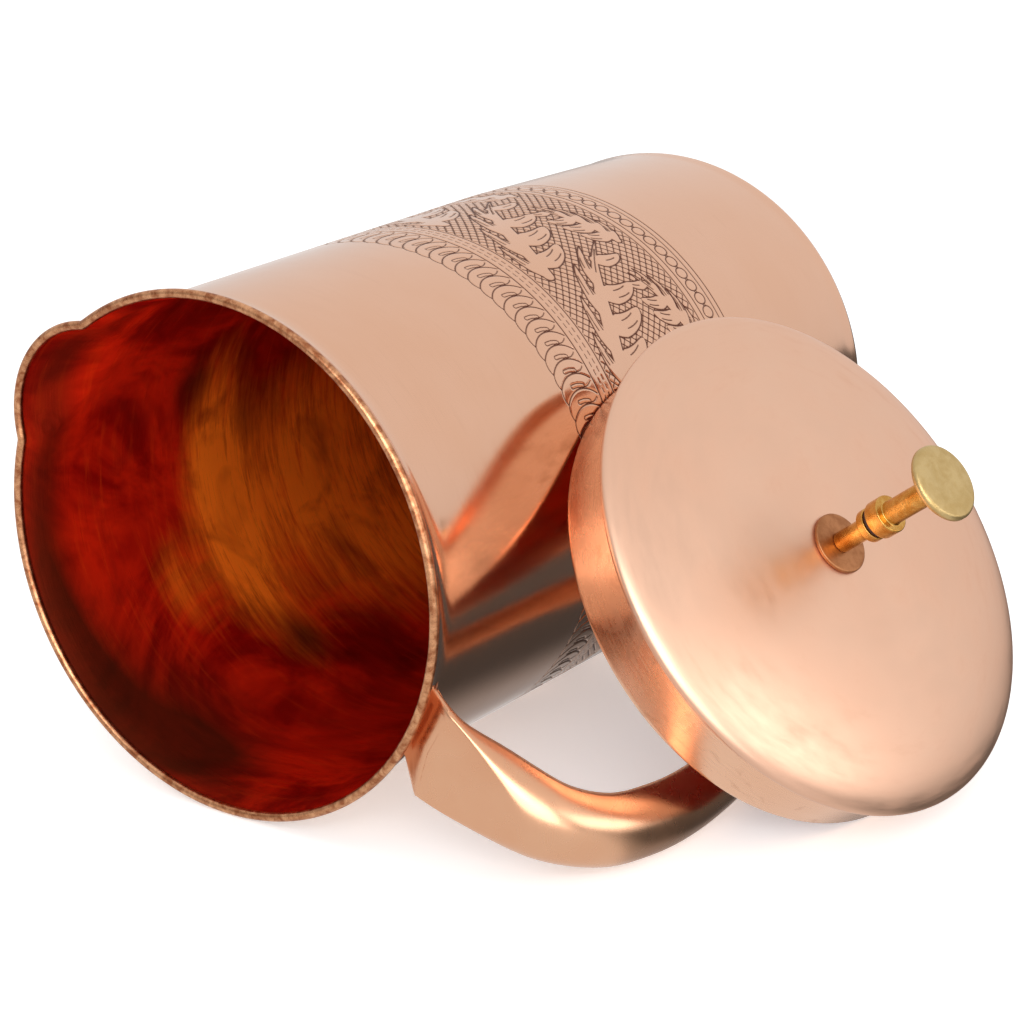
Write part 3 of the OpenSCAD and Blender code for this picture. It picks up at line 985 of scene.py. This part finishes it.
def make_lid():
    seam = SKIRT_R + GAP
    lip = [(seam, SKIRT_H)] + arc(DOME_R - LIP_R, DOME_Z, LIP_R, -90, 0, 10)[:-1]
    points, faces = lathe(lip + dome_line(0)[:-1] + [(BORE_R, APEX_Z)], LID_SEGMENTS, False)
    add_piece("lid_top", points, faces, LID, COPPER_DOME, "lid", "lid_dome")
    under = [(BORE_R, APEX_Z), (BORE_R, APEX_Z - SHEET)] + dome_line(-SHEET)[::-1][1:]
    edge = [(DOME_R - SHEET - 0.2, DOME_Z - 0.2), (SKIRT_R + 0.3, SKIRT_H + SHEET)]
    edge += [(seam, SKIRT_H + SHEET), (seam, SKIRT_H)]
    points, faces = lathe(under + edge, LID_SEGMENTS, False)
    # A little painted light and some painted shade over the whole of the lid's inside.
    values = {"painted_light": np.full(len(points), 0.1), "painted_shade": np.full(len(points), 0.25)}
    add_piece("lid_inside", points, faces, LID, COPPER_IN, "lid", "lid_dome", values)
    rows = [(SKIRT_R, SKIRT_H + SHEET)] + [(SKIRT_R, SKIRT_H * t) for t in np.linspace(1, 0.02, 24)]
    rows += [(SKIRT_R - 0.12, 0.02), (SKIRT_R - 0.35, 0.0), (SKIRT_R - SHEET + 0.1, 0.02)]
    rows += [(SKIRT_R - SHEET, SKIRT_H * t) for t in np.linspace(0.02, 1, 16)]
    rows += [(SKIRT_R - SHEET, SKIRT_H + 2 * SHEET), (SKIRT_R + 1.4, SKIRT_H + 2 * SHEET)]
    rows += [(SKIRT_R + 1.5, SKIRT_H + SHEET + 0.3)]
    points, faces = lathe(rows, LID_SEGMENTS)
    add_piece("lid_band", points, faces[:, ::-1], LID, COPPER_SKIRT, "lid", "lid_skirt")


# ---- Knob ----


def knob_piece(name, node, line, material, segments=96):
    points, faces = lathe(line, segments)
    add_piece(name, points, faces, KNOB, material, "lid", node)


def ring_line(r_out, z0, z1, soft):
    """Section of a ring round the screw, with softened corners."""
    return rounded([(BORE_R, z0), (r_out, z0), (r_out, z1), (BORE_R, z1)], soft)


def make_knob():
    knob_piece("knob_plate", "knob_washer", ring_line(6.5, 0, 0.9, 0.35), WASHER)
    lower = [(BORE_R, 0.9), (2.2, 0.9), (2.2, 8.9), (3.5, 8.9), (3.5, 10.7), (BORE_R, 10.7)]
    knob_piece("knob_sleeve_low", "knob_lower_sleeve", rounded(lower, 0.25), BRASS)
    knob_piece("knob_ring", "knob_gasket", ring_line(3.2, 10.7, 11.9, 0.3), RUBBER)
    upper = [(BORE_R, 11.9), (4.0, 11.9), (4.0, 15.4), (2.5, 15.4), (2.5, 28.8), (BORE_R, 28.8)]
    knob_piece("knob_sleeve_high", "knob_upper_sleeve", rounded(upper, 0.3), BRASS)
    head = [(0.01, -5.2), (1.25, -5.2), (1.45, -5.0), (1.45, 28.8), (7.4, 28.8), (7.9, 29.3)]
    head += arc(7.1, 29.8, 0.8, 0, 90, 5) + [(4, 30.6), (1, 30.6), (0.15, 30.6), (0.01, 30.6)]
    knob_piece("knob_head", "knob_screw", head, HEAD_BRASS)
    under = ring_line(5, -1.4, -0.7, 0.15)
    knob_piece("inner_disc", "inner_washer", under, WASHER)
    knob_piece("inner_nut", "knob_nut", ring_line(3.9, -4.0, -1.4, 0.3), BRASS, 6)


make_wall()
make_inside()
make_rim()
make_base()
make_handle()
make_cap()
make_braze("braze_high", "upper_braze", 176.7, 1.1, 13.3)
make_braze("braze_low", "lower_braze", 53.1, 1.3, 4.4)
make_lid()
make_knob()


# ---- Studio, in metres ----

FLOOR_HALF = 40.0
CAMERA_PLACE = (-0.38374, -0.23278, 0.1906)
CAMERA_FORWARD = (0.791, 0.5309, -0.3041)
CAMERA_RIGHT = (0.5547, -0.832, -0.0096)

def area_light(name, place, aim, size, power):
    light = bpy.data.lights.new(name, "AREA")
    light.shape = "RECTANGLE"
    light.size, light.size_y = size
    light.energy = power
    obj = bpy.data.objects.new(name, light)
    obj.location = place
    obj.rotation_euler = (Vector(aim) - Vector(place)).to_track_quat("-Z", "Y").to_euler()
    bpy.context.scene.collection.objects.link(obj)


def grey_ramp(tree, fac, stops):
    """A smooth ramp of greys over a value from 0 to 1."""
    return colour_ramp(tree, fac, [(place, (grey,) * 3) for place, grey in stops], "EASE")


def direction_share(tree, way, toward):
    """How far a direction lies toward another one, from 0 to 1."""
    dot = tree.nodes.new("ShaderNodeVectorMath")
    dot.operation = "DOT_PRODUCT"
    dot.inputs[1].default_value = toward
    tree.links.new(way, dot.inputs[0])
    share = tree.nodes.new("ShaderNodeMapRange")
    reach = Vector(toward).length
    set_range(share, -reach, reach, 0, 1)
    tree.links.new(dot.outputs["Value"], share.inputs["Value"])
    return share.outputs[0]


def make_world():
    """Grey surroundings, bright but for a dark part low down beyond the lid."""
    world = bpy.data.worlds.new("studio")
    bpy.context.scene.world = world
    world.use_nodes = True
    tree = world.node_tree
    way = tree.nodes.new("ShaderNodeTexCoord").outputs["Generated"]
    facing = direction_share(tree, way, (0.55, -0.10, 1.00))
    above = grey_ramp(tree, facing, ((0.30, 0.42), (0.48, 0.52), (0.64, 0.80), (0.92, 0.88)))
    rise = direction_share(tree, way, (0, 0, 1))
    beyond = direction_share(tree, way, (0.90, -0.43, 0))
    below = grey_ramp(tree, beyond, ((0.71, 0.84), (0.79, 0.34), (0.87, 0.07), (1.00, 0.12)))
    split = tree.nodes.new("ShaderNodeMapRange")
    set_range(split, 0.485, 0.50, 0, 1)
    tree.links.new(rise, split.inputs["Value"])
    join = tree.nodes.new("ShaderNodeMix")
    join.data_type = "RGBA"
    tree.links.new(split.outputs[0], join.inputs["Factor"])
    tree.links.new(below, join.inputs[6])
    tree.links.new(above, join.inputs[7])
    tree.links.new(join.outputs[2], tree.nodes["Background"].inputs[0])
    tree.nodes["Background"].inputs[1].default_value = 1.0


def make_studio():
    bpy.context.scene.view_settings.view_transform = "Standard"
    side = FLOOR_HALF
    floor = bpy.data.meshes.new("studio_floor")
    corners = [(-side, -side, 0), (side, -side, 0), (side, side, 0), (-side, side, 0)]
    floor.from_pydata(corners, [], [(0, 1, 2, 3)])
    obj = bpy.data.objects.new("studio_floor", floor)
    bpy.context.scene.collection.objects.link(obj)
    floor.materials.append(floor_paint())
    obj.visible_glossy = False
    make_world()
    area_light("side", (0.16, -1.05, 0.40), (0, -0.05, 0.05), (0.70, 0.40), 1.8)
    area_light("front", (-0.95, -0.50, 0.75), (0, -0.05, 0.02), (0.9, 0.6), 2.5)
    area_light("mouth", (-0.88, -0.66, 0.42), (-0.02, 0.06, 0.06), (1.2, 0.9), 9)


def make_camera():
    data = bpy.data.cameras.new("camera")
    data.lens = 73.99
    data.sensor_width = 36
    data.clip_start = 0.01
    forward = Vector(CAMERA_FORWARD).normalized()
    right = Vector(CAMERA_RIGHT)
    right = (right - forward * right.dot(forward)).normalized()
    facing = Matrix((right, right.cross(forward), -forward)).transposed().to_4x4()
    camera = bpy.data.objects.new("camera", data)
    camera.matrix_world = Matrix.Translation(CAMERA_PLACE) @ facing
    bpy.context.scene.collection.objects.link(camera)
    bpy.context.scene.camera = camera


make_studio()
make_camera()

bpy.context.view_layer.update()
